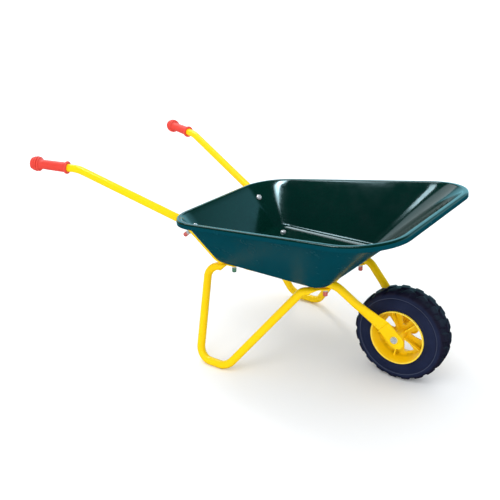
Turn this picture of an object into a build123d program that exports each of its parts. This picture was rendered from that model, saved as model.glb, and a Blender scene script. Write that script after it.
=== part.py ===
"""Child's metal wheelbarrow: pressed steel tray on a bent tube frame, two leg loops, one wheel.

Millimetres. +X points forward, from the grips to the wheel, +Y to the left, +Z up.
The origin is on the ground, under the middle of the whole barrow.
"""
from build123d import *
from math import atan, atan2, cos, radians, sin
import os

os.makedirs("parts", exist_ok=True)

# ---------------------------------------------------------------- driving dimensions
sheet = 0.8                 # tray steel
gap = 0.1                   # between pieces bolted face to face
wall_gap = 0.5              # between the tube and the tray's rear wall, at the bolt
tube_d = 15.0               # frame and leg tube
tube_wall = 1.2

# tray
floor_z = 182.4             # upper face of the tray floor
floor_rear = -25.2          # where the rear wall meets the floor, before rounding
floor_front = 202.7
floor_half = 117.0
floor_corner = 26.0         # plan radius of the floor's corners
floor_fillet = 16.0         # rounding between floor and walls, outside
rim_rear = -94.3            # top of the walls, at the rim
rim_front = 344.6
rim_half_rear = 157.9
rim_half_front = 205.4
rim_corner_rear = 71.0
rim_corner_front = 77.5
rim_z = 271.45              # rim height at x = 0
rim_rise = 0.1290           # rise of the rim per unit of length
rim_flange = 8.4            # flange width outside the wall
rim_skirt = 9.0             # height of the turned-down edge
rim_round = 2.8             # rounding of the flange into the skirt
floor_inset = 0.35          # inside of the tray from its outside, in plan, at the floor
mouth_inset = 0.5           # and just above the rim
mouth_above_rim = 0.6
notch_clearance = 0.6       # around the frame tube, where the skirt is notched for it
notch_length = 40.0

# frame tube: its bends from the grip to the fork, left side
grip_end = (-388.8, 205.9, 330.2)
handle_bend = (-295.3, 176.2, 326.4)
wall_bend = (-88.0, 112.0, 243.4)
floor_bend = (-29.3, 88.5, 174.0)
fork_bend = (204.9, 66.5, 174.0)
handle_bend_radius = 60.0
wall_bend_radius = 36.0
floor_bend_radius = 23.0
fork_bend_radius = 30.0
tube_end_in_grip = 5.0      # from the grip's end face to the tube's end

# fork end and axle
axle_x = 307.1
axle_z = 85.0
axle_d = 8.0
fork_y = 34.5               # middle of the flattened fork end
fork_plate = 3.2
fork_plate_width = 26.5
fork_plate_past_axle = 5.5  # flat part beyond the axle, before its round end
fork_plate_before_axle = 30.0
fork_crimp = 62.0           # length over which the round tube is pressed flat
plate_edge = 0.4            # rounding of pressed plate edges, as a share of the thickness
axle_head_d = 12.8
axle_head_h = 4.6
axle_head_round = 3.2
axle_nut_af = 13.0
axle_nut_h = 9.0            # with its dome
axle_nut_hex_h = 5.4
axle_nut_dome_d = 12.0
axle_nut_dome_round = 3.2
axle_nut_bore = 7.4         # depth of its thread
axle_end_gap = 0.2          # between the axle's end and the nut's dome

# wheel
tyre_r = 85.0
lug_h = 3.0                 # tread lugs above the tyre body
lug_count = 20              # in each of the two rows
lug_length = 27.0
lug_width = 15.0
lug_turn = 26.0
lug_depth = 9.5             # of each lug's block, from the tread down into the shoulder
crown_half = 17.0           # half width of the tread's crown, and its drop there
crown_drop = 3.0
shoulder_r = 73.0
shoulder_half = 22.0
bead_ring_r = 55.0
bead_half = 24.2
tyre_bead_r = 47.6
tyre_wall = 3.4
hub_r = 49.6
hub_half = 27.0
hub_flange = 2.6
hub_seat_r = 47.5
hub_shell = 2.4
hub_waist_r = 41.5          # inner radius of the hub shell at its web
hub_web = 3.0
hub_boss_r = 9.0
hub_boss_half = 32.4
hub_bore_r = axle_d / 2 + 0.06
hub_windows = 5
window_first = 8.0          # degrees up from the forward direction
window_inner_r = 16.0
window_inner_half = 3.0
window_outer_r = 36.0
window_outer_half = 10.5
window_round = 2.4
rib_height = 13.0           # each side of the web
rib_thickness = 2.4

# grips
grip_length = 77.0
grip_bore_r = tube_d / 2 + 0.05
grip_body_r = 8.6
grip_neck_r = 9.4
grip_flange_r = 12.2
grip_flange_w = 4.6
knob_rings = 4
knob_ring_w = 4.6
knob_ring_radii = (11.6, 13.6, 14.4, 13.8)
knob_groove_r = 11.0

# legs: x and z of the bends of the loop
leg_rear_top = (-53.4, 160.4)
leg_rear_foot = (-18.1, tube_d / 2)
leg_front_foot = (43.3, tube_d / 2)
leg_front_top = (151.6, 158.4)
leg_foot_y = 168.5          # centre line at the foot
leg_splay = 0.51            # outward run per unit of drop
leg_bend_radius = 30.0
leg_rear_top_radius = 20.0
leg_front_top_radius = 16.0
leg_plate = 2.6             # flattened leg end
leg_plate_width = 20.0
leg_plate_reach = 12.0      # flat part behind each bolt
leg_rear_crimp = 17.0       # length over which the round tube is pressed flat
leg_front_crimp = 21.0

# bolts, nuts and caps
bolt_d = 5.0
bolt_hole_d = 5.2
bolt_hole_reach = 60.0      # cut through whatever the bolt passes
bolt_head_d = 11.6
bolt_head_h = 3.4
bolt_head_round = 2.7
nut_af = 8.0
nut_h = 5.0
cap_d = 8.4
cap_h = 9.0
cap_round = 1.7
cap_blind = 6.5             # depth of the cap's hole
bolt_reach = 5.5            # of the bolt into it
rear_bolt_x = 1.85
front_bolt_x = 185.6
wall_bolt_drop = 16.5       # along the tube, from its upper bend to the bolt
dent_height = 8.8           # frame tube pressed flat from below at the rear bolt
dent_half = 16.0
dent_slope = 18.0

# ---------------------------------------------------------------- derived places
tube_r = tube_d / 2
rim_pitch = atan(rim_rise)
per_x = 1 / cos(rim_pitch)  # length along the rim plane per unit of x
rim_plane = Plane(
    origin=(0, 0, rim_z),
    x_dir=(cos(rim_pitch), 0, sin(rim_pitch)),
    z_dir=(-sin(rim_pitch), 0, cos(rim_pitch)),
)
floor_under_z = floor_z - sheet
tube_bottom_z = floor_bend[2] - tube_r
dent_z = floor_bend[2] + tube_r - dent_height
axle_point = (axle_x, fork_y, axle_z)


def tube_y(x):
    """Distance of the frame tube from the middle plane, under the tray floor."""
    run = (x - floor_bend[0]) / (fork_bend[0] - floor_bend[0])
    return floor_bend[1] + run * (fork_bend[1] - floor_bend[1])


def leg_y(z):
    """Distance of the leg centre line from the middle plane, at height z."""
    return leg_foot_y - leg_splay * (z - tube_r)


def between(start, end, length):
    """The point at a given length from start towards end."""
    step = Vector(*end) - Vector(*start)
    return Vector(*start) + step.normalized() * length


def bolt_planes(x, y, z, axis):
    """Planes of a left and a right bolt's seats, their z axes pointing out of the heads."""
    left = Plane(origin=(x, y, z), z_dir=axis)
    right = Plane(origin=(x, -y, z), z_dir=(axis[0], -axis[1], axis[2]))
    return left, right


# the wall bolts stand square to the tube where it lies along the tray's rear wall
toe = atan2(handle_bend[1] - wall_bend[1], wall_bend[0] - handle_bend[0])
wall_run = Vector(floor_bend[0] - wall_bend[0], floor_bend[1] - wall_bend[1]).length
wall_slope = atan2(wall_bend[2] - floor_bend[2], wall_run)
wall_bolt_axis = (sin(wall_slope) * cos(toe), -sin(wall_slope) * sin(toe), cos(wall_slope))
wall_bolt_at_tube = between(wall_bend, floor_bend, wall_bolt_drop)
wall_bolt_seat = wall_bolt_at_tube + Vector(*wall_bolt_axis) * (tube_r + wall_gap + sheet)

wall_bolts = bolt_planes(*wall_bolt_seat, wall_bolt_axis)
rear_bolts = bolt_planes(rear_bolt_x, tube_y(rear_bolt_x), floor_z, (0, 0, 1))
front_bolts = bolt_planes(front_bolt_x, tube_y(front_bolt_x), floor_z, (0, 0, 1))

# where the handles pass through the rim's skirt
handle_axis = (Vector(*wall_bend) - Vector(*handle_bend)).normalized()
skirt_notches = bolt_planes(*between(wall_bend, handle_bend, notch_length / 4), tuple(handle_axis))

# depth of each bolt's nut below the seat of its head
wall_nut_depth = sheet + wall_gap + tube_d + gap
rear_nut_depth = floor_z - dent_z + leg_plate + 2 * gap
front_nut_depth = floor_z - tube_bottom_z + leg_plate + 2 * gap


def write(part, name):
    """Label a finished piece and write its STEP file."""
    part.label = name
    export_step(part, f"parts/{name}.step")


def write_pair(part, name):
    """Write the left-hand piece and its mirror image for the right."""
    write(part, f"{name}_left")
    write(mirror(part, about=Plane.XZ), f"{name}_right")


def bolt_holes(*planes):
    """Clearance holes for the bolts on the given planes, cut from the current part."""
    with Locations(*planes):
        Cylinder(bolt_hole_d / 2, bolt_hole_reach, mode=Mode.SUBTRACT)


# ---------------------------------------------------------------- tray
def rounded_trapezoid(rear, front, half_rear, half_front, corner_rear, corner_front):
    """Plan outline of the tray, narrower at the rear than at the front."""
    with BuildSketch() as shape:
        with BuildLine():
            Polyline(
                (rear, -half_rear),
                (front, -half_front),
                (front, half_front),
                (rear, half_rear),
                close=True,
            )
        make_face()
        fillet(shape.vertices().sort_by(Axis.X)[:2], corner_rear)
        fillet(shape.vertices().sort_by(Axis.X)[-2:], corner_front)
    return shape.sketch


def rim_outline(grow):
    """Outline of the top of the walls, grown outward."""
    return rounded_trapezoid(
        rim_rear * per_x - grow,
        rim_front * per_x + grow,
        rim_half_rear + grow,
        rim_half_front + grow,
        rim_corner_rear + grow,
        rim_corner_front + grow,
    )


def floor_outline(grow):
    """Outline of the floor before it is rounded into the walls, grown outward."""
    half = floor_half + grow
    corner = floor_corner + grow
    return rounded_trapezoid(floor_rear - grow, floor_front + grow, half, half, corner, corner)


def tub(height, floor_grow, top, rim_grow, rounding):
    """Solid tub from the floor to a level above the rim plane, with a rounded bottom edge."""
    with BuildPart() as body:
        with BuildSketch(Plane.XY.offset(height)):
            add(floor_outline(floor_grow))
        with BuildSketch(rim_plane.offset(top)):
            add(rim_outline(rim_grow))
        loft(ruled=True)
        fillet(body.faces().sort_by(Axis.Z)[0].edges(), rounding)
    return body.part


def rim_block(grow, top, rounding):
    """Solid under the rim plane, from the lower edge of the skirt up to top."""
    with BuildPart() as block:
        with BuildSketch(rim_plane.offset(-rim_skirt)):
            add(rim_outline(grow))
        extrude(amount=rim_skirt + top)
        fillet(block.faces().sort_by(Axis(rim_plane.origin, rim_plane.z_dir))[-1].edges(), rounding)
    return block.part


tub_outside = tub(floor_under_z, 0, -sheet / 2, 0, floor_fillet)
tub_inside = tub(floor_z, -floor_inset, mouth_above_rim, -mouth_inset, floor_fillet - sheet)
under_flange = rim_block(rim_flange - sheet, -sheet, rim_round - sheet)

with BuildPart() as tray:
    add(rim_block(rim_flange, 0, rim_round))
    add(under_flange, mode=Mode.SUBTRACT)
    with Locations(*skirt_notches):
        Cylinder(tube_r + notch_clearance, notch_length, mode=Mode.SUBTRACT)
    add(tub_outside)
    add(tub_inside, mode=Mode.SUBTRACT)
    bolt_holes(*wall_bolts, *rear_bolts, *front_bolts)
write(tray.part, "tray")


# ---------------------------------------------------------------- tubes
def tube_run(points, radii, radius):
    """Round bar along straight runs joined by arcs."""
    with BuildPart() as run:
        with BuildLine() as route:
            FilletPolyline(*points, radius=radii)
        with BuildSketch(Plane(origin=route.line @ 0, z_dir=route.line % 0)):
            Circle(radius)
        sweep()
    return run.part


def flattened_end(round_plane, flat_plane, width, thickness):
    """Stretch of tube pressed from round at one plane to a flat oval at the other."""
    with BuildPart() as crimp:
        with BuildSketch(round_plane):
            Circle(tube_r)
        with BuildSketch(flat_plane):
            Ellipse(width / 2, thickness / 2)
        loft()
    return crimp.part


def end_plate(plane, reach_back, reach_on, width, thickness, hole_d):
    """Flat tube end lying in a plane, round at its tip, with a hole at the plane's origin."""
    with BuildPart() as plate:
        with BuildSketch(plane):
            with Locations(((reach_on - reach_back) / 2, 0)):
                Rectangle(reach_back + reach_on, width)
            with Locations((reach_on, 0)):
                Circle(width / 2)
        extrude(amount=thickness / 2, both=True)
        flat_faces = plate.faces().filter_by(Axis(plane.origin, plane.z_dir))
        fillet(flat_faces.edges(), plate_edge * thickness)
        with Locations(plane):
            Cylinder(hole_d / 2, 2 * thickness, mode=Mode.SUBTRACT)
    return plate.part


# ---------------------------------------------------------------- frame tubes
fork_line = Vector(*axle_point) - Vector(*fork_bend)
fork_axis = fork_line.normalized()
fork_flat_axis = Vector(fork_line.X, 0, fork_line.Z).normalized()
fork_across = Vector(-fork_flat_axis.Z, 0, fork_flat_axis.X)
fork_round_end = between(axle_point, fork_bend, fork_plate_before_axle + fork_crimp)
fork_flat_end = Vector(*axle_point) - fork_flat_axis * fork_plate_before_axle
frame_route = [
    between(grip_end, handle_bend, tube_end_in_grip),
    handle_bend,
    wall_bend,
    floor_bend,
    fork_bend,
    fork_round_end,
]
frame_radii = [handle_bend_radius, wall_bend_radius, floor_bend_radius, fork_bend_radius]


def dent(grow):
    """What is pressed out of the tube from below at the rear bolt, grown on every side."""
    flat = dent_half + grow
    mouth = flat + dent_slope
    with BuildPart() as block:
        with BuildSketch(Plane.XZ):
            Polygon(
                (rear_bolt_x - mouth, tube_bottom_z - tube_d),
                (rear_bolt_x - mouth, tube_bottom_z),
                (rear_bolt_x - flat, dent_z + grow),
                (rear_bolt_x + flat, dent_z + grow),
                (rear_bolt_x + mouth, tube_bottom_z),
                (rear_bolt_x + mouth, tube_bottom_z - tube_d),
                align=None,
            )
        extrude(amount=-leg_foot_y)
    return block.part


with BuildPart() as frame_bore:
    add(tube_run(frame_route, frame_radii, tube_r - tube_wall))
    add(dent(tube_wall), mode=Mode.SUBTRACT)

with BuildPart() as frame_tube:
    add(tube_run(frame_route, frame_radii, tube_r))
    add(dent(0), mode=Mode.SUBTRACT)
    add(frame_bore.part, mode=Mode.SUBTRACT)
    add(
        flattened_end(
            Plane(origin=fork_round_end, x_dir=fork_across, z_dir=fork_axis),
            Plane(origin=fork_flat_end, x_dir=fork_across, z_dir=fork_flat_axis),
            fork_plate_width,
            fork_plate,
        )
    )
    add(
        end_plate(
            Plane(origin=axle_point, x_dir=fork_flat_axis, z_dir=(0, 1, 0)),
            fork_plate_before_axle,
            fork_plate_past_axle,
            fork_plate_width,
            fork_plate,
            axle_d + 0.1,
        )
    )
    bolt_holes(wall_bolts[0], rear_bolts[0], front_bolts[0])
write_pair(frame_tube.part, "frame_tube")


# ---------------------------------------------------------------- legs
def leg_point(place):
    """Point of the leg loop's centre line, in its splayed plane."""
    x, z = place
    return Vector(x, leg_y(z), z)


def leg_end(bolt_x, plate_z, knee, crimp):
    """Where a leg's end turns flat: bolt centre, flat start and end of the round tube."""
    bolt = Vector(bolt_x, tube_y(bolt_x), plate_z)
    level_knee = Vector(knee.X, knee.Y, plate_z)
    flat = between(bolt, level_knee, leg_plate_reach)
    level_round = between(bolt, level_knee, leg_plate_reach + crimp)
    return bolt, flat, Vector(level_round.X, level_round.Y, knee.Z)


def leg_end_solid(bolt, flat, round_end, knee):
    """Pressed end of a leg, from its round tube to the plate under the bolt."""
    level = (bolt - flat).normalized()
    across = Vector(-level.Y, level.X, 0)
    with BuildPart() as end:
        add(
            flattened_end(
                Plane(origin=round_end, x_dir=across, z_dir=(round_end - knee).normalized()),
                Plane(origin=flat, x_dir=across, z_dir=level),
                leg_plate_width,
                leg_plate,
            )
        )
        add(
            end_plate(
                Plane(origin=bolt, x_dir=level, z_dir=(0, 0, 1)),
                leg_plate_reach,
                0,
                leg_plate_width,
                leg_plate,
                bolt_hole_d,
            )
        )
    return end.part


rear_knee = leg_point(leg_rear_top)
front_knee = leg_point(leg_front_top)
rear_plate_z = dent_z - gap - leg_plate / 2
front_plate_z = tube_bottom_z - gap - leg_plate / 2
rear_end = leg_end(rear_bolt_x, rear_plate_z, rear_knee, leg_rear_crimp)
front_end = leg_end(front_bolt_x, front_plate_z, front_knee, leg_front_crimp)
leg_route = [
    rear_end[2],
    rear_knee,
    leg_point(leg_rear_foot),
    leg_point(leg_front_foot),
    front_knee,
    front_end[2],
]
leg_radii = [leg_rear_top_radius, leg_bend_radius, leg_bend_radius, leg_front_top_radius]

with BuildPart() as leg:
    add(tube_run(leg_route, leg_radii, tube_r))
    add(tube_run(leg_route, leg_radii, tube_r - tube_wall), mode=Mode.SUBTRACT)
    add(leg_end_solid(*rear_end, rear_knee))
    add(leg_end_solid(*front_end, front_knee))
write_pair(leg.part, "leg")


# ---------------------------------------------------------------- grips
grip_start = between(grip_end, handle_bend, grip_length)
grip_axis = (grip_start - Vector(*grip_end)).normalized()
grip_out = Vector(grip_axis.Y, -grip_axis.X, 0).normalized()
grip_plane = Plane(origin=grip_end, x_dir=grip_out, z_dir=grip_out.cross(grip_axis))
knob_length = len(knob_ring_radii) * knob_ring_w
neck_start = grip_length - grip_flange_w

with BuildPart() as grip:
    with BuildSketch(grip_plane):
        Polygon(
            (0, 0),
            (knob_groove_r, 0),
            (knob_groove_r, knob_length),
            (grip_body_r, knob_length + knob_ring_w),
            (grip_neck_r, neck_start),
            (grip_neck_r, grip_length),
            (0, grip_length),
            align=None,
        )
        for ring, ring_r in enumerate(knob_ring_radii):
            with Locations(((ring_r - knob_groove_r) / 2 + knob_groove_r / 2, (ring + 0.5) * knob_ring_w)):
                SlotOverall(ring_r, knob_ring_w)
        with Locations(((grip_flange_r + grip_neck_r / 2) / 2, grip_length - grip_flange_w / 2)):
            SlotOverall(grip_flange_r - grip_neck_r / 2, grip_flange_w)
    revolve(axis=Axis(grip_end, grip_axis))
    with Locations(Plane(origin=grip_start, z_dir=-grip_axis)):
        Cylinder(
            grip_bore_r,
            grip_length - tube_end_in_grip + gap,
            align=(Align.CENTER, Align.CENTER, Align.MIN),
            mode=Mode.SUBTRACT,
        )
write_pair(grip.part, "grip")

# ---------------------------------------------------------------- wheel
wheel_centre = Vector(axle_x, 0, axle_z)
wheel_axis = Axis(wheel_centre, (0, 1, 0))
wheel_section = Plane(origin=wheel_centre)                     # local x is the radius
wheel_face = Plane(origin=wheel_centre, x_dir=(1, 0, 0), z_dir=(0, -1, 0))


def tyre_body(radius):
    """Solid ring of the tyre's outside, with its crown at the given radius."""
    crown_r = radius - crown_drop
    with BuildPart() as body:
        with BuildSketch(wheel_section):
            with BuildLine():
                Polyline(
                    (crown_r, -crown_half),
                    (shoulder_r, -shoulder_half),
                    (bead_ring_r, -bead_half),
                    (tyre_bead_r, -bead_half),
                    (tyre_bead_r, bead_half),
                    (bead_ring_r, bead_half),
                    (shoulder_r, shoulder_half),
                    (crown_r, crown_half),
                )
                ThreePointArc((crown_r, crown_half), (radius, 0), (crown_r, -crown_half))
            make_face()
        revolve(axis=wheel_axis)
    return body.part


def lug_seat(row, lug):
    """Plane of one tread lug, turned so that the two rows form arrowheads."""
    angle = radians((lug + row / 4) * 360 / lug_count)
    spoke = Vector(cos(angle), 0, sin(angle))
    across = Vector(0, row, 0).rotate(Axis((0, 0, 0), spoke), lug_turn)
    middle = wheel_centre + spoke * tyre_r + Vector(0, row * lug_length / 2, 0)
    return Plane(origin=middle, x_dir=across, z_dir=spoke)


with BuildPart() as lugs:
    with Locations(*[lug_seat(row, lug) for row in (1, -1) for lug in range(lug_count)]):
        Box(lug_length, lug_width, 2 * lug_depth)
    add(tyre_body(tyre_r), mode=Mode.INTERSECT)

with BuildPart() as tyre:
    add(tyre_body(tyre_r - lug_h))
    add(lugs.part)
    with BuildSketch(wheel_section):
        Polygon(
            (0, -bead_half + 2 * tyre_wall),
            (bead_ring_r, -bead_half + tyre_wall),
            (shoulder_r, -shoulder_half + tyre_wall),
            (tyre_r - lug_h - tyre_wall, -crown_half / 2),
            (tyre_r - lug_h - tyre_wall, crown_half / 2),
            (shoulder_r, shoulder_half - tyre_wall),
            (bead_ring_r, bead_half - tyre_wall),
            (0, bead_half - 2 * tyre_wall),
            align=None,
        )
    revolve(axis=wheel_axis, mode=Mode.SUBTRACT)
write(tyre.part, "tyre")


def hub_section():
    """Half section of the hub above its middle plane: web, dished shell, flange and boss."""
    with BuildSketch() as section:
        Polygon(
            (hub_waist_r, 0),
            (hub_waist_r, hub_web / 2),
            (hub_r - hub_shell, hub_half),
            (hub_r, hub_half),
            (hub_r, hub_half - hub_flange),
            (hub_seat_r, hub_half - hub_flange),
            (hub_seat_r, hub_half / 2),
            (hub_waist_r + 2 * hub_shell, 0),
            align=None,
        )
        with Locations(((hub_bore_r + hub_waist_r) / 2, hub_web / 4)):
            Rectangle(hub_waist_r - hub_bore_r, hub_web / 2)
        with Locations(((hub_bore_r + hub_boss_r) / 2, hub_boss_half / 2)):
            Rectangle(hub_boss_r - hub_bore_r, hub_boss_half)
    return section.sketch


with BuildPart() as wheel_hub:
    with BuildSketch(wheel_section):
        add(hub_section())
        mirror(about=Plane.XZ)
    revolve(axis=wheel_axis)
    with BuildSketch(wheel_face) as windows:
        with PolarLocations(0, hub_windows, start_angle=window_first):
            Polygon(
                (window_inner_r, -window_inner_half),
                (window_outer_r, -window_outer_half),
                (window_outer_r, window_outer_half),
                (window_inner_r, window_inner_half),
                align=None,
            )
        fillet(windows.vertices(), window_round)
    extrude(amount=hub_web, both=True, mode=Mode.SUBTRACT)
    with BuildSketch(wheel_face):
        with PolarLocations(0, hub_windows, start_angle=window_first + 180 / hub_windows):
            with Locations(((hub_boss_r + hub_waist_r) / 2, 0)):
                Rectangle(hub_waist_r + 2 * hub_shell - hub_boss_r, rib_thickness)
    extrude(amount=rib_height, both=True)
write(wheel_hub.part, "wheel_hub")


# ---------------------------------------------------------------- axle
plate_face_y = fork_y + fork_plate / 2
axle_head_plane = Plane(origin=(axle_x, -plate_face_y, axle_z), z_dir=(0, -1, 0))
axle_nut_plane = Plane(origin=(axle_x, plate_face_y, axle_z), z_dir=(0, 1, 0))
BASE = (Align.CENTER, Align.CENTER, Align.MIN)
TOP = (Align.CENTER, Align.CENTER, Align.MAX)

with BuildPart() as axle_bolt:
    with Locations(axle_head_plane):
        Cylinder(axle_head_d / 2, axle_head_h, align=BASE)
    fillet(axle_bolt.faces().sort_by(Axis.Y)[0].edges(), axle_head_round)
    with Locations(axle_head_plane):
        Cylinder(axle_d / 2, 2 * plate_face_y + axle_nut_bore - axle_end_gap, align=TOP)
write(axle_bolt.part, "axle_bolt")

with BuildPart() as axle_nut:
    with BuildSketch(axle_nut_plane):
        RegularPolygon(axle_nut_af / 2, 6, major_radius=False)
    extrude(amount=axle_nut_hex_h)
    with Locations(axle_nut_plane):
        Cylinder(axle_nut_dome_d / 2, axle_nut_h, align=BASE)
    fillet(axle_nut.faces().sort_by(Axis.Y)[-1].edges(), axle_nut_dome_round)
    with Locations(axle_nut_plane):
        Cylinder(axle_d / 2 + gap / 2, 2 * axle_nut_bore, mode=Mode.SUBTRACT)
write(axle_nut.part, "axle_nut")


# ---------------------------------------------------------------- bolts, nuts and caps
def bolt(nut_depth):
    """Round-headed bolt, seated at z = 0, that ends inside its cap."""
    with BuildPart() as piece:
        Cylinder(bolt_head_d / 2, bolt_head_h, align=BASE)
        fillet(piece.faces().sort_by(Axis.Z)[-1].edges(), bolt_head_round)
        Cylinder(bolt_d / 2, nut_depth + nut_h + bolt_reach, align=TOP)
    return piece.part


def nut(nut_depth):
    """Hexagon nut below its bolt's seat."""
    with BuildPart() as piece:
        with BuildSketch(Plane.XY.offset(-nut_depth)):
            RegularPolygon(nut_af / 2, 6, major_radius=False)
            Circle(bolt_d / 2 + gap / 2, mode=Mode.SUBTRACT)
        extrude(amount=-nut_h)
    return piece.part


def cap(nut_depth):
    """Plastic cap pushed over the bolt's end, below the nut."""
    with BuildPart() as piece:
        with BuildSketch(Plane.XY.offset(-nut_depth - nut_h)):
            Circle(cap_d / 2)
        extrude(amount=-cap_h)
        fillet(piece.faces().sort_by(Axis.Z)[0].edges(), cap_round)
        with BuildSketch(Plane.XY.offset(-nut_depth - nut_h)):
            Circle(bolt_d / 2 + gap / 2)
        extrude(amount=-cap_blind, mode=Mode.SUBTRACT)
    return piece.part


bolt_groups = {
    "rear_wall": (wall_bolts, wall_nut_depth),
    "rear_floor": (rear_bolts, rear_nut_depth),
    "front_floor": (front_bolts, front_nut_depth),
}
for place, (planes, nut_depth) in bolt_groups.items():
    for fastener in (bolt, nut, cap):
        with BuildPart() as pair:
            with Locations(*planes):
                add(fastener(nut_depth))
        write(pair.part, f"{place}_{fastener.__name__}s")
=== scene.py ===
from math import atan, cos, pi, radians, sin, tan

import bmesh
import bpy
from mathutils import Matrix, Vector


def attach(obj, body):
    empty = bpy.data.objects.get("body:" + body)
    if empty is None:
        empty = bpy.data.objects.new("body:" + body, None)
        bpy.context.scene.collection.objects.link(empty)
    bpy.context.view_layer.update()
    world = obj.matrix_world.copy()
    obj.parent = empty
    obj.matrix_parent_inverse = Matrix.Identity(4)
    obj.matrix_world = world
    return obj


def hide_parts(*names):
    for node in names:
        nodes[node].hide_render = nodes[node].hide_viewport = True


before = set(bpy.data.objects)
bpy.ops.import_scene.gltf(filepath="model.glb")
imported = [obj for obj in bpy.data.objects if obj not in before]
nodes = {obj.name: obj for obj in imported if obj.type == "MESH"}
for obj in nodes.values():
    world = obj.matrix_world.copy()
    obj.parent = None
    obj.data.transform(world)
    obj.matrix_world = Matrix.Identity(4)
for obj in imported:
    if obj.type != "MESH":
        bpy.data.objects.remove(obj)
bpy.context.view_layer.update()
scene = bpy.context.scene

# ---------------------------------------------------------------- sizes, in metres
# They are the CAD's, except RIM_ROUND, HANDLE_GAP, LUG_LIFT, KNOB_GROOVE and the grips' ribs.
SHEET = 0.0008
FLOOR_Z = 0.1824 - SHEET            # underside of the tray floor

# outlines of the tray's floor and rim: rear, front, half widths there, corner radii there
FLOOR = (-0.0252, 0.2027, 0.117, 0.117, 0.026, 0.026)
RIM = (-0.0943, 0.3446, 0.1579, 0.2054, 0.071, 0.0775)
RIM_Z = 0.27145                     # height of the rim's plane over the origin
RIM_RISE = 0.129                    # and how much it climbs forward per metre
FLOOR_FILLET = 0.016
RIM_ROUND = 0.0045                  # where the wall turns out into the flange
FLANGE = 0.0084
FLANGE_ROUND = 0.0028               # where the flange turns down into the skirt
SKIRT = 0.009
HANDLE_GAP = 0.0009                 # between a handle and the notch in the skirt

TUBE_R = 0.0075
HANDLE_BEND = Vector((-0.2953, 0.1762, 0.3264))
WALL_BEND = Vector((-0.0880, 0.1120, 0.2434))
GRIP_END = Vector((-0.3888, 0.2059, 0.3302))

AXLE = Vector((0.3071, 0.0, 0.085))
TYRE_R = 0.085
LUGS = 20                           # in each of the two rows
LUG_LIFT = 0.0022
LUG_ROW = 0.0135                    # from the tyre's middle plane to the middle of a row
LUG_SLANT = radians(26)

KNOB_RINGS = (0.0116, 0.0136, 0.0144, 0.0138)   # radii, from the end inwards
KNOB_RING_LENGTH = 0.0046
KNOB_GROOVE = 0.0028
GRIP_RIBS = 16
GRIP_RIB_LIFT = 0.00022

# ---------------------------------------------------------------- studio
AMBIENT = 1.15                      # light from all round, on matt surfaces
ROOM = 0.07                         # what gloss mirrors where nothing bright is
BACK_WALL = 0.95                    # behind the barrow, towards its front
LIT_FLOOR = 1.4                     # and towards its grips, where the lit floor meets the wall


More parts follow.
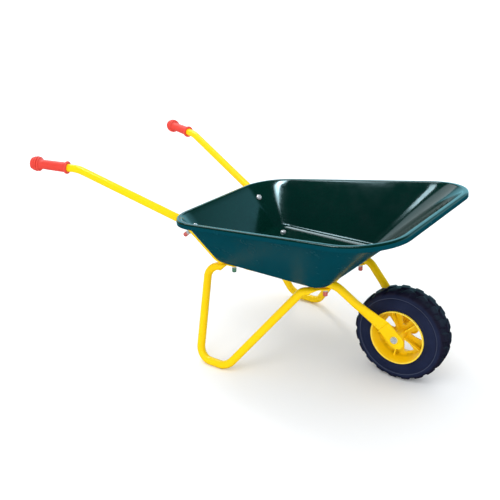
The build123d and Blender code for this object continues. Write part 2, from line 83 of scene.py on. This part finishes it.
# ---------------------------------------------------------------- material helpers
class Graph:
    """A material's node tree, with short calls for the nodes that the finishes use."""

    def __init__(self, name):
        self.material = bpy.data.materials.new(name)
        self.material.use_nodes = True
        self.tree = self.material.node_tree
        self.tree.nodes.clear()
        self.out = self.node("ShaderNodeOutputMaterial")
        self.shader = self.node("ShaderNodeBsdfPrincipled")
        self.link(self.shader.outputs[0], self.out.inputs[0])
        self.coords = self.node("ShaderNodeTexCoord").outputs["Object"]
        self.height = None

    def node(self, kind, **settings):
        made = self.tree.nodes.new(kind)
        for key, value in settings.items():
            setattr(made, key, value)
        return made

    def link(self, source, target):
        self.tree.links.new(source, target)

    def set(self, **values):
        for key, value in values.items():
            self.shader.inputs[key.replace("_", " ")].default_value = value

    def noise(self, scale, detail=4.0, roughness=0.55, stretch=None, distortion=0.0):
        made = self.node("ShaderNodeTexNoise")
        made.inputs["Scale"].default_value = scale
        made.inputs["Detail"].default_value = detail
        made.inputs["Roughness"].default_value = roughness
        made.inputs["Distortion"].default_value = distortion
        source = self.coords
        if stretch:
            mapping = self.node("ShaderNodeMapping")
            mapping.inputs["Scale"].default_value = stretch
            self.link(self.coords, mapping.inputs["Vector"])
            source = mapping.outputs[0]
        self.link(source, made.inputs["Vector"])
        return made.outputs["Fac"]

    def ramp(self, value, low, high, start=0.35, end=0.65):
        """low and high are colours, or numbers for a grey ramp."""
        made = self.node("ShaderNodeValToRGB")
        stops = made.color_ramp.elements
        stops[0].position, stops[1].position = start, end
        for stop, colour in zip(stops, (low, high)):
            stop.color = (*colour, 1.0) if isinstance(colour, tuple) else (colour, colour, colour, 1.0)
        self.link(value, made.inputs[0])
        return made.outputs[0]

    def spread(self, value, low, high, start=0.3, end=0.7):
        made = self.node("ShaderNodeMapRange")
        for key, number in (("From Min", start), ("From Max", end), ("To Min", low), ("To Max", high)):
            made.inputs[key].default_value = number
        self.link(value, made.inputs["Value"])
        return made.outputs[0]

    def mix(self, mask, a, b):
        """Colour a where the mask is 0 and b where it is 1."""
        made = self.node("ShaderNodeMix", data_type="RGBA")
        factor, first, second, result = 0, 6, 7, 2  # the sockets that a colour mix uses
        for key, value in ((factor, mask), (first, a), (second, b)):
            if isinstance(value, bpy.types.NodeSocket):
                self.link(value, made.inputs[key])
            elif isinstance(value, tuple):
                made.inputs[key].default_value = (*value, 1.0)
            else:
                made.inputs[key].default_value = value
        return made.outputs[result]

    def maths(self, operation, a, b=0.0, clamp=False):
        made = self.node("ShaderNodeMath", operation=operation, use_clamp=clamp)
        for key, value in enumerate((a, b)):
            if isinstance(value, bpy.types.NodeSocket):
                self.link(value, made.inputs[key])
            else:
                made.inputs[key].default_value = value
        return made.outputs[0]

    def pointiness(self):
        """0.5 on the flat, more on convex edges and less in hollows."""
        return self.node("ShaderNodeNewGeometry").outputs["Pointiness"]

    def edges(self, start, end):
        """1 on worn convex edges, 0 elsewhere."""
        return self.spread(self.pointiness(), 0.0, 1.0, start, end)

    def bump(self, value, distance, strength=1.0):
        made = self.node("ShaderNodeBump")
        made.inputs["Distance"].default_value = distance
        made.inputs["Strength"].default_value = strength
        self.link(value, made.inputs["Height"])
        if self.height:
            self.link(self.height, made.inputs["Normal"])
        self.height = made.outputs[0]
        self.link(self.height, self.shader.inputs["Normal"])

    def base(self, colour):
        self.link(colour, self.shader.inputs["Base Color"])

    def rough(self, value):
        self.link(value, self.shader.inputs["Roughness"])


def enamel(name, colour, deep, worn, rough, coat, tint, ior=1.5, wear=1.0):
    """Sprayed paint on steel: soft cloudiness, orange peel, fine scuffs and lighter edges."""
    g = Graph(name)
    cloudy = g.ramp(g.noise(9.0, 5.0), deep, colour, 0.3, 0.62)
    patchy = g.spread(g.noise(160.0, 6.0), 0.0, 0.7, 0.46, 0.7)
    edge = g.maths("MULTIPLY", g.edges(0.62, 0.76), patchy)
    streaks = g.spread(g.noise(70.0, 8.0, 0.7, (1.0, 5.0, 3.0)), 0.0, 1.0, 0.72, 0.9)
    scuffs = g.maths("MULTIPLY", streaks, 0.08)
    marks = g.maths("MULTIPLY", g.maths("MAXIMUM", edge, scuffs, clamp=True), wear)
    g.base(g.mix(marks, cloudy, worn))
    satin = g.spread(g.noise(30.0, 6.0, 0.65), rough, rough + 0.1)
    g.rough(g.maths("ADD", satin, g.maths("MULTIPLY", marks, 0.2)))
    g.bump(g.noise(130.0, 2.0), 0.00004, 0.1 * wear)
    g.bump(g.noise(30.0, 2.0), 0.0004, 0.05 * wear)
    g.set(Coat_Weight=coat, Coat_Roughness=0.05, IOR=ior, Specular_Tint=(*tint, 1.0))
    return g.material


def plastic(name, colour, deep, worn, rough, grain):
    """Moulded plastic: slight flow marks, fine grain, rubbed edges and painted shade that darkens the
    hollows.
    """
    g = Graph(name)
    flow = g.ramp(g.noise(14.0, 6.0, 0.6, (1.0, 1.0, 2.2), 0.6), deep, colour, 0.32, 0.66)
    rubbed = g.maths("MULTIPLY", g.edges(0.52, 0.64), g.spread(g.noise(210.0, 5.0), 0.1, 0.9, 0.35, 0.7))
    # painted shade: the colour darkens in hollows, such as the grooves between the grip's rings, where
    # shade would fall
    hollow = g.spread(g.pointiness(), 1.0, 0.0, 0.41, 0.49)
    painted_hollow_shade = tuple(0.45 * part for part in deep)
    g.base(g.mix(rubbed, g.mix(hollow, flow, painted_hollow_shade), worn))
    g.rough(g.spread(g.noise(75.0, 8.0, 0.7), rough, rough + 0.16))
    g.bump(g.noise(900.0, 2.0), grain, 0.7)
    g.bump(g.noise(60.0, 4.0), 0.0003, 0.25)
    g.set(IOR=1.47)
    return g.material


def zinc(name):
    """Bright zinc on steel, a little cloudy and scratched."""
    g = Graph(name)
    g.base(g.ramp(g.noise(320.0, 5.0, 0.6), (0.58, 0.62, 0.68), (0.9, 0.92, 0.95), 0.36, 0.64))
    g.rough(g.spread(g.noise(700.0, 6.0, 0.7, (1.0, 1.0, 5.0)), 0.16, 0.38))
    g.bump(g.noise(1500.0, 3.0), 0.00003, 0.6)
    g.set(Metallic=0.45, IOR=1.9)
    return g.material


def tyre_plastic():
    """Blown navy plastic: matt on the tread, smoother and faintly ringed on the side walls, with dust on
    the crown and painted highlights: lighter lug edges and a lighter ring on the side-wall ridge.
    """
    g = Graph("tyre_navy")
    centre = g.node("ShaderNodeVectorMath", operation="SUBTRACT")
    centre.inputs[1].default_value = AXLE
    g.link(g.coords, centre.inputs[0])
    parts = g.node("ShaderNodeSeparateXYZ")
    g.link(centre.outputs[0], parts.inputs[0])
    squares = [g.maths("POWER", parts.outputs[key], 2.0) for key in ("X", "Z")]
    radius = g.maths("SQRT", g.maths("ADD", *squares))
    tread = g.spread(radius, 0.0, 1.0, 0.0765, 0.0805)
    crown = g.spread(radius, 0.0, 1.0, 0.0832, 0.0849)
    mottled = g.ramp(g.noise(26.0, 7.0, 0.6), (0.0090, 0.0130, 0.037), (0.0145, 0.0200, 0.052), 0.32, 0.68)
    darker = g.mix(g.maths("MULTIPLY", tread, 0.85), mottled, (0.0085, 0.0058, 0.0180))
    dust = g.maths("MULTIPLY", crown, g.spread(g.noise(95.0, 8.0, 0.75), 0.0, 0.12, 0.5, 0.78))
    # painted highlight: the convex lug edges on the tread are lightened where light would glint
    lug_edge_painted_highlight = g.maths("MULTIPLY", g.maths("MULTIPLY", g.edges(0.57, 0.68), tread), 0.6)
    # painted highlight: a lighter ring where the side-wall ridge would catch the light
    ridge_starts = g.spread(radius, 0.0, 1.0, 0.0711, 0.0717)
    ridge_ends = g.spread(radius, 0.0, 1.0, 0.0724, 0.0731)
    ridge_painted_highlight = g.maths("MULTIPLY", g.maths("SUBTRACT", ridge_starts, ridge_ends), 0.5)
    # real dust on the crown, plus the painted highlights on the lug edges and the side-wall ridge, all
    # mixed to the lighter colour
    worn = g.maths("MAXIMUM", dust, g.maths("MAXIMUM", lug_edge_painted_highlight, ridge_painted_highlight), clamp=True)
    g.base(g.mix(worn, darker, (0.085, 0.10, 0.15)))
    g.rough(g.maths("ADD", g.spread(g.noise(48.0, 6.0), 0.28, 0.38), g.maths("MULTIPLY", tread, 0.2)))
    ring_step = 0.0009
    rings = g.maths("SINE", g.maths("MULTIPLY", radius, 2 * pi / ring_step))
    side_wall = g.maths("SUBTRACT", 1.0, tread, clamp=True)
    g.bump(g.maths("MULTIPLY", rings, side_wall), 0.00001, 0.35)
    g.bump(g.noise(1100.0, 3.0), 0.00005, 0.6)
    g.bump(g.noise(85.0, 4.0), 0.0004, 0.3)
    g.set(IOR=1.33, Specular_IOR_Level=0.3, Coat_Weight=0.04, Coat_Roughness=0.14)
    return g.material


TEAL = (0.6, 0.9, 1.0)
LEMON = (1.0, 0.86, 0.3)
# The tray is one paint in two copies: the outside is painted a lighter teal, as if lit by the white floor,
# and the inside a darker green, as if shaded.
green_outside_lit_copy = enamel(
    "tray_green_outside_lit_copy", (0.0004, 0.046, 0.064), (0.0002, 0.042, 0.058), (0.01, 0.09, 0.11),
    rough=0.2, coat=0.0, tint=TEAL, ior=1.16, wear=0.15,
)
green_inside_shaded_copy = enamel(
    "tray_green_inside_shaded_copy", (0.0005, 0.020, 0.0140), (0.0003, 0.016, 0.0115), (0.01, 0.08, 0.07),
    rough=0.08, coat=0.04, tint=TEAL, wear=0.15,
)
yellow = enamel(
    "frame_yellow", (0.99, 0.645, 0.003), (0.97, 0.61, 0.002), (1.0, 0.78, 0.2),
    rough=0.22, coat=0.12, tint=LEMON,
)
hub_yellow = plastic(
    "hub_yellow", (0.98, 0.66, 0.003), (0.95, 0.61, 0.002), (1.0, 0.8, 0.15), 0.28, 0.00003,
)
red = plastic("grip_red", (0.80, 0.050, 0.032), (0.70, 0.036, 0.020), (0.92, 0.17, 0.13), 0.34, 0.00004)
cap_red = plastic("cap_red", (0.55, 0.085, 0.075), (0.45, 0.06, 0.05), (0.8, 0.3, 0.27), 0.4, 0.00004)
cap_green = plastic("cap_green", (0.04, 0.17, 0.10), (0.028, 0.13, 0.078), (0.18, 0.4, 0.28), 0.4, 0.00004)
steel = zinc("bright_zinc")
navy = tyre_plastic()


def dress(obj, material):
    obj.data.materials.clear()
    obj.data.materials.append(material)


# ---------------------------------------------------------------- mesh helpers
def add_mesh(name, verts, faces, material, body, stands_for):
    """A smooth mesh that moves with a body and stands for CAD nodes."""
    mesh = bpy.data.meshes.new(name)
    mesh.from_pydata([tuple(v) for v in verts], [], faces)
    mesh.validate()
    made = bpy.data.objects.new(name, mesh)
    scene.collection.objects.link(made)
    for face in mesh.polygons:
        face.use_smooth = True
    dress(made, material)
    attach(made, body)
    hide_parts(*stands_for)
    return made


def grid_faces(rings, count):
    """Quads between successive closed rings of count points."""
    faces = []
    for ring in range(rings - 1):
        for i in range(count):
            j = (i + 1) % count
            near, far = ring * count, (ring + 1) * count
            faces.append((near + i, near + j, far + j, far + i))
    return faces


def rounded_trapezoid(rear, front, half_rear, half_front, corner_rear, corner_front, arc_steps, side_steps):
    """Points of the outline and their outward normals, anticlockwise seen from above."""
    corners = [
        (Vector((front, -half_front)), corner_front),
        (Vector((front, half_front)), corner_front),
        (Vector((rear, half_rear)), corner_rear),
        (Vector((rear, -half_rear)), corner_rear),
    ]
    points, normals = [], []
    arcs = []
    for k, (corner, radius) in enumerate(corners):
        back = (corners[k - 1][0] - corner).normalized()
        on = (corners[(k + 1) % 4][0] - corner).normalized()
        half = back.angle(on) / 2
        run = radius / tan(half)
        centre = corner + (back + on).normalized() * (radius / sin(half))
        first = (corner + back * run - centre).normalized()
        last = (corner + on * run - centre).normalized()
        turn = first.angle(last)
        spokes = []
        for step in range(arc_steps + 1):
            share = step / arc_steps
            spoke = first * (sin((1 - share) * turn) / sin(turn)) + last * (sin(share * turn) / sin(turn))
            spokes.append(spoke.normalized())
        arcs.append((centre, radius, spokes))
    for k, (centre, radius, spokes) in enumerate(arcs):
        for spoke in spokes:
            points.append(centre + spoke * radius)
            normals.append(spoke)
        next_centre, next_radius, next_spokes = arcs[(k + 1) % 4]
        start, end = points[-1], next_centre + next_spokes[0] * next_radius
        for step in range(1, side_steps[k]):
            points.append(start.lerp(end, step / side_steps[k]))
            normals.append(spokes[-1])
    return points, normals


def round_corner(start_way, corner, end_way, radius, steps):
    """Points of the arc that rounds a corner between two unit directions that point away from it."""
    turn = start_way.angle(end_way * -1)
    run = radius * tan(turn / 2)
    start, end = corner + start_way * run, corner + end_way * run
    weight = cos(turn / 2)
    arc = []
    for step in range(steps + 1):
        t = step / steps
        a, b, c = (1 - t) ** 2, 2 * t * (1 - t) * weight, t * t
        arc.append((start * a + corner * b + end * c) / (a + b + c))
    return arc


# ---------------------------------------------------------------- tray
def build_tray():
    """The pressed tray: for each step of the outline, a column of points from floor to skirt."""
    wall_steps, notch_steps, skirt_steps = 10, 36, 3
    pitch = atan(RIM_RISE)
    along = Vector((cos(pitch), 0, sin(pitch)))
    across = Vector((0, 1, 0))
    up = Vector((-sin(pitch), 0, cos(pitch)))
    stretch = 1 / cos(pitch)
    steps = (20, (44, 44, 90, 44))  # along each corner's arc, and along each side
    rim = (RIM[0] * stretch, RIM[1] * stretch, *RIM[2:])
    floor_points, floor_normals = rounded_trapezoid(*FLOOR, *steps)
    rim_points, rim_normals = rounded_trapezoid(*rim, *steps)
    count = len(floor_points)
    handle = (WALL_BEND - HANDLE_BEND).normalized()
    columns = []
    for f, fn, r, rn in zip(floor_points, floor_normals, rim_points, rim_normals):
        foot = Vector((f.x, f.y, FLOOR_Z))
        inward = Vector((-fn.x, -fn.y, 0))
        top = Vector((0, 0, RIM_Z)) + along * r.x + across * r.y
        out = along * rn.x + across * rn.y
        wall = (top - foot).normalized()
        lip = top + out * FLANGE
        column = round_corner(inward, foot, wall, FLOOR_FILLET, 8)
        last = column[-1]
        rise = round_corner(-wall, top, out, RIM_ROUND, 4)
        column += [last.lerp(rise[0], k / wall_steps) for k in range(1, wall_steps)]
        column += rise
        column += round_corner(-out, lip, -up, FLANGE_ROUND, 6)
        skirt = SKIRT
        for side in (1, -1):  # the skirt is notched where a handle passes under the rim
            mirror = Vector((1, side, 1))
            start = HANDLE_BEND * mirror
            way = handle * mirror
            for k in range(1, notch_steps + 1):
                point = lip - up * (k * SKIRT / notch_steps)
                away = point - start
                if (away - way * away.dot(way)).length < TUBE_R + HANDLE_GAP:
                    skirt = min(skirt, (k - 1) * SKIRT / notch_steps)
                    break
        skirt = max(skirt, FLANGE_ROUND + 0.0004)
        for k in range(1, skirt_steps + 1):
            column.append(lip - up * (FLANGE_ROUND + (skirt - FLANGE_ROUND) * k / skirt_steps))
        columns.append(column)
    centre = Vector(((FLOOR[0] + FLOOR[1]) / 2, 0, FLOOR_Z))
    floor_shares = (0.3, 0.55, 0.78, 0.92)
    rings = [[centre.lerp(column[0], share) for column in columns] for share in floor_shares]
    rings += [list(ring) for ring in zip(*columns)]
    verts = [point for ring in rings for point in ring] + [centre]
    faces = grid_faces(len(rings), count)
    faces += [(len(verts) - 1, (i + 1) % count, i) for i in range(count)]
    tray = add_mesh("tray_shell", verts, faces, green_outside_lit_copy, "frame", ["tray"])
    # the surface is the sheet's outside, in the lighter teal copy of the green that is painted as lit by
    # the white floor; the solidified inside takes the darker copy, painted as shaded, one material slot on
    tray.data.materials.append(green_inside_shaded_copy)
    tray.data.materials.append(green_outside_lit_copy)
    skirt = len(rings) - skirt_steps - 2
    for face in tray.data.polygons[skirt * count:(len(rings) - 1) * count]:
        face.material_index = 1  # on the turned-down skirt, the two sides swap the lit and shaded copies of the green, so the skirt's outer face gets the painted lighter teal of the outer walls
    solid = tray.modifiers.new("sheet", "SOLIDIFY")
    solid.thickness = SHEET
    solid.offset = -1.0
    solid.use_even_offset = True
    solid.material_offset = 1


# ---------------------------------------------------------------- tyre
def soft_step(value, low, high):
    t = min(max((value - low) / (high - low), 0.0), 1.0)
    return t * t * (3 - 2 * t)


def lug_height(turn, y):
    """Height of the tread at an angle and at y from the middle plane: 0 in a groove, 1 on a lug."""
    row = 1 if y > 0 else -1
    pitch = 2 * pi / LUGS
    best = 0.0
    for k in (-1, 0, 1):
        here = (turn - row * pitch / 4) / pitch
        around = (here - round(here) + k) * pitch * TYRE_R
        side = abs(y) - LUG_ROW
        a = side * cos(LUG_SLANT) + around * sin(LUG_SLANT)
        b = around * cos(LUG_SLANT) - side * sin(LUG_SLANT)
        b += 0.0011 * sin(a / LUG_ROW * pi)  # the lugs are slightly curved
        inner = soft_step(a, -0.0150, -0.0132)
        outer = soft_step(-a, -0.0175, -0.0150)
        width = 0.0078 - 0.0008 * soft_step(a, 0.0, 0.012)
        best = max(best, inner * outer * soft_step(width - abs(b), -0.0006, 0.0009))
    return best


def build_tyre():
    """The hollow tyre, turned from a profile of radius and half width, with the lugs raised on it."""
    base = [
        (0.0478, 0.0205), (0.0478, 0.0228), (0.0484, 0.0238), (0.0495, 0.0242), (0.0515, 0.0243),
        (0.0530, 0.0242), (0.0537, 0.0237), (0.0544, 0.0237), (0.0551, 0.0243), (0.0562, 0.0245),
        (0.0580, 0.0245), (0.0610, 0.0244), (0.0640, 0.0241), (0.0670, 0.0236), (0.0692, 0.0231),
        (0.0701, 0.0227), (0.0706, 0.0221), (0.0712, 0.0221), (0.0717, 0.0228), (0.0727, 0.0229),
        (0.0740, 0.0226), (0.0752, 0.0223), (0.0763, 0.0219), (0.0773, 0.0215), (0.0782, 0.0210),
        (0.0790, 0.0205), (0.0797, 0.0199), (0.0803, 0.0192), (0.0808, 0.0184), (0.0812, 0.0174),
        (0.0816, 0.0162), (0.0819, 0.0149), (0.0821, 0.0134), (0.0823, 0.0117), (0.0824, 0.0100),
        (0.0825, 0.0083), (0.0826, 0.0066), (0.0827, 0.0049), (0.0828, 0.0033), (0.0828, 0.0017),
    ]
    profile = [(r, -y) for r, y in base] + [(0.0828, 0.0)] + [(r, y) for r, y in reversed(base)]
    around = LUGS * 32  # steps round the tyre, the same on every lug
    verts = []
    for r, y in profile:
        rise = soft_step(r, 0.0765, 0.0800)
        for i in range(around):
            turn = 2 * pi * i / around
            lift = LUG_LIFT * rise * lug_height(turn, y) if rise else 0.0
            spread = 0.0005 * rise * (1 - soft_step(r, 0.0785, 0.0805))  # of a lug's shoulder, sideways
            radius = r + lift
            across = y + (spread * lift / LUG_LIFT if y > 0 else -spread * lift / LUG_LIFT)
            verts.append(AXLE + Vector((radius * cos(turn), across, radius * sin(turn))))
    inner = [
        (0.0478, 0.0205), (0.0500, 0.0190), (0.0600, 0.0200),
        (0.0720, 0.0185), (0.0775, 0.0090), (0.0785, 0.0),
    ]
    inside = [(r, y) for r, y in inner] + [(r, -y) for r, y in reversed(inner[:-1])]
    for r, y in inside[1:-1]:
        for i in range(around):
            turn = 2 * pi * i / around
            verts.append(AXLE + Vector((r * cos(turn), y, r * sin(turn))))
    rings = len(verts) // around
    faces = grid_faces(rings, around)
    for i in range(around):
        j = (i + 1) % around
        faces.append(((rings - 1) * around + i, (rings - 1) * around + j, j, i))
    tyre = add_mesh("tyre_tread", verts, faces, navy, "wheel", ["tyre"])
    fix_normals(tyre)


def fix_normals(obj):
    work = bmesh.new()
    work.from_mesh(obj.data)
    bmesh.ops.recalc_face_normals(work, faces=work.faces)
    work.to_mesh(obj.data)
    work.free()


# ---------------------------------------------------------------- grips
def build_grip(side):
    """A grip turned from (radius, distance from its end): ringed knob, ribbed waist and flange."""
    end = GRIP_END * Vector((1, side, 1))
    bend = HANDLE_BEND * Vector((1, side, 1))
    axis = (bend - end).normalized()
    out = Vector((axis.y, -axis.x, 0)).normalized()
    up = out.cross(axis)
    radii = [(0.0, 0.0006), (0.0050, 0.0002), (0.0080, 0.0)]
    ring_parts = 8
    for k, ring in enumerate(KNOB_RINGS):
        for part in range(ring_parts + 1):
            angle = pi * part / ring_parts
            along = KNOB_RING_LENGTH * (k + 0.5) - cos(angle) * KNOB_RING_LENGTH * 0.5
            radii.append((ring - KNOB_GROOVE * (1 - sin(angle) ** 0.8), along))
    knob = len(KNOB_RINGS) * KNOB_RING_LENGTH
    waist, flange = knob + 0.0065, 0.0700
    waist_r, waist_swell, waist_parts = 0.0088, 0.0005, 12
    radii += [(0.0112, knob + 0.0006), (0.0101, knob + 0.0020), (0.0092, knob + 0.0040), (waist_r, waist)]
    for k in range(1, waist_parts + 1):
        share = k / waist_parts
        radii.append((waist_r + waist_swell * share, waist + share * (flange - waist)))
    radii += [
        (0.0096, 0.0710), (0.0106, 0.0720), (0.0117, 0.0726), (0.0122, 0.0738), (0.0122, 0.0752),
        (0.0118, 0.0764), (0.0108, 0.0770), (0.0084, 0.0770), (0.00756, 0.0764), (0.00756, 0.0700),
    ]
    count = 64
    verts = []
    for radius, along in radii:
        centre = end + axis * along
        ribbed = 0.026 < along < 0.0695 and radius > 0.0085
        for i in range(count):
            turn = 2 * pi * i / count
            rib = GRIP_RIB_LIFT * soft_step(cos(turn * GRIP_RIBS), 0.2, 0.9) if ribbed else 0.0
            verts.append(centre + (out * cos(turn) + up * sin(turn)) * (radius + rib))
    faces = grid_faces(len(radii), count)
    name = "grip_left_moulded" if side > 0 else "grip_right_moulded"
    node = "grip_left" if side > 0 else "grip_right"
    grip = add_mesh(name, verts, faces, red, "frame", [node])
    fix_normals(grip)


build_tray()
build_tyre()
build_grip(1)
build_grip(-1)

for node, obj in nodes.items():
    if node.startswith(("frame_tube", "leg")):
        dress(obj, yellow)
    elif node == "wheel_hub":
        dress(obj, hub_yellow)
    elif node.endswith("caps"):
        dress(obj, cap_green if node.startswith("rear_floor") else cap_red)
    elif node.endswith(("bolts", "bolt", "nuts", "nut")):
        dress(obj, steel)
    elif node.startswith("grip"):
        dress(obj, red)
    elif node == "tray":
        dress(obj, green_outside_lit_copy)
    else:
        dress(obj, navy)


# ---------------------------------------------------------------- floor, light and camera
def build_floor():
    """A large white floor. Gloss doesn't mirror it: the world stands for it there."""
    work = bmesh.new()
    bmesh.ops.create_grid(work, x_segments=8, y_segments=8, size=30.0)
    mesh = bpy.data.meshes.new("floor")
    work.to_mesh(mesh)
    work.free()
    floor = bpy.data.objects.new("floor", mesh)
    scene.collection.objects.link(floor)
    g = Graph("floor_white")
    g.base(g.ramp(g.noise(3.0), 0.93, 0.95))
    g.rough(g.spread(g.noise(12.0), 0.9, 1.0))
    g.set(Specular_IOR_Level=0.1)
    dress(floor, g.material)
    floor.visible_glossy = False


def soft_sun(name, way, angle, strength):
    """A softbox far off, in the direction way, seen as a disc of the given angle in degrees."""
    light = bpy.data.lights.new(name, "SUN")
    light.angle = radians(angle)
    light.energy = strength
    made = bpy.data.objects.new(name, light)
    scene.collection.objects.link(made)
    made.matrix_world = Vector(way).to_track_quat("Z", "Y").to_matrix().to_4x4()
    return made


def strip_light(name, shines_on, way, distance, size, radiance):
    """A softbox that only shows in gloss, placed a distance along way from what it shines on."""
    light = bpy.data.lights.new(name, "AREA")
    light.shape = "RECTANGLE"
    light.size, light.size_y = size
    light.energy = radiance * pi * size[0] * size[1]
    made = bpy.data.objects.new(name, light)
    scene.collection.objects.link(made)
    place = Vector(shines_on) + Vector(way).normalized() * distance
    made.matrix_world = Matrix.Translation(place) @ Vector(way).to_track_quat("Z", "Y").to_matrix().to_4x4()
    made.visible_diffuse = False
    made.visible_camera = False
    return made


def build_world():
    """A pale studio. Gloss mirrors a dim room, with the white wall and the lit floor behind the barrow."""
    world = bpy.data.worlds.new("studio")
    scene.world = world
    world.use_nodes = True
    tree = world.node_tree
    tree.nodes.clear()

    def smooth(source, low, high, start, end):
        made = tree.nodes.new("ShaderNodeMapRange")
        made.interpolation_type = "SMOOTHSTEP"
        for key, number in (("From Min", low), ("From Max", high), ("To Min", start), ("To Max", end)):
            made.inputs[key].default_value = number
        tree.links.new(source, made.inputs["Value"])
        return made.outputs[0]

    def combine(operation, first, second):
        made = tree.nodes.new("ShaderNodeMath")
        made.operation = operation
        tree.links.new(first, made.inputs[0])
        tree.links.new(second, made.inputs[1])
        return made.outputs[0]

    def background(colour):
        made = tree.nodes.new("ShaderNodeBackground")
        made.inputs["Color"].default_value = (*colour, 1)
        return made

    parts = tree.nodes.new("ShaderNodeSeparateXYZ")
    tree.links.new(tree.nodes.new("ShaderNodeTexCoord").outputs["Generated"], parts.inputs[0])
    x, y, z = parts.outputs
    behind = smooth(y, 0.1, 0.65, 0.0, 1.0)

    frontward = smooth(x, -0.15, 0.15, 0.0, BACK_WALL)
    below_top = smooth(z, 0.46, 0.62, 1.0, 0.0)
    above_foot = smooth(z, -0.1, 0.1, 0.0, 1.0)
    wall = combine("MULTIPLY", combine("MULTIPLY", frontward, below_top), above_foot)

    rearward = smooth(x, -0.05, 0.15, LIT_FLOOR, 0.0)
    low = smooth(z, 0.26, 0.46, 1.0, 0.0)
    above_shadow = smooth(z, -0.6, -0.3, 0.0, 1.0)
    lit_floor = combine("MULTIPLY", combine("MULTIPLY", rearward, low), above_shadow)

    strength = tree.nodes.new("ShaderNodeMath")
    strength.inputs[1].default_value = ROOM
    tree.links.new(combine("MULTIPLY", combine("ADD", wall, lit_floor), behind), strength.inputs[0])

    pale = background((0.955, 0.978, 1.0))
    pale.inputs["Strength"].default_value = AMBIENT
    mirrored = background((0.36, 0.85, 1.0))
    tree.links.new(strength.outputs[0], mirrored.inputs["Strength"])
    mix = tree.nodes.new("ShaderNodeMixShader")
    path = tree.nodes.new("ShaderNodeLightPath")
    tree.links.new(path.outputs["Is Glossy Ray"], mix.inputs[0])
    tree.links.new(pale.outputs[0], mix.inputs[1])
    tree.links.new(mirrored.outputs[0], mix.inputs[2])
    out = tree.nodes.new("ShaderNodeOutputWorld")
    tree.links.new(mix.outputs[0], out.inputs[0])


def build_camera():
    """The photo's camera, worked out from the barrow's symmetry and its points on the ground."""
    place = Vector((0.74645, -1.1276, 0.7167))
    yaw, pitch, roll = radians(34.25), radians(21.98), radians(0.25)
    ahead = Vector((-sin(yaw) * cos(pitch), cos(yaw) * cos(pitch), -sin(pitch)))
    level = Vector((cos(yaw), sin(yaw), 0))
    up = level.cross(ahead)
    right = level * cos(roll) + up * sin(roll)
    above = up * cos(roll) - level * sin(roll)
    turn = Matrix((right, above, -ahead)).transposed().to_4x4()
    lens = bpy.data.cameras.new("camera")
    lens.sensor_width = 36.0
    lens.lens = 53.96
    lens.clip_start = 0.01
    made = bpy.data.objects.new("camera", lens)
    scene.collection.objects.link(made)
    made.matrix_world = Matrix.Translation(place) @ turn
    scene.camera = made


build_floor()
build_world()
soft_sun("left_softbox", (-0.45, 0.30, 0.84), 18, 0.65)
soft_sun("front_softbox", (0.03, -0.57, 0.82), 30, 0.45).visible_glossy = False
soft_sun("near_fill", (0.45, -0.86, 0.16), 50, 0.5).visible_glossy = False
rear_corner = strip_light(
    "rear_corner_strip", (-0.048, 0.157, 0.266), (0.05, -0.60, 0.80),
    distance=0.3, size=(0.25, 0.042), radiance=3.6,
)
rear_corner.data.spread = radians(46)  # keeps it off the tray's far wall
strip_light(
    "floor_edge_strip", (0.11, 0.119, 0.188), (-0.42, -0.35, 0.84),
    distance=1.0, size=(0.30, 0.18), radiance=15.0,
)
strip_light(
    "front_corner_strip", (0.25, 0.12, 0.25), (-0.80, 0.22, 0.55),
    distance=1.3, size=(0.95, 0.45), radiance=1.9,
)
build_camera()
scene.view_settings.view_transform = "Standard"
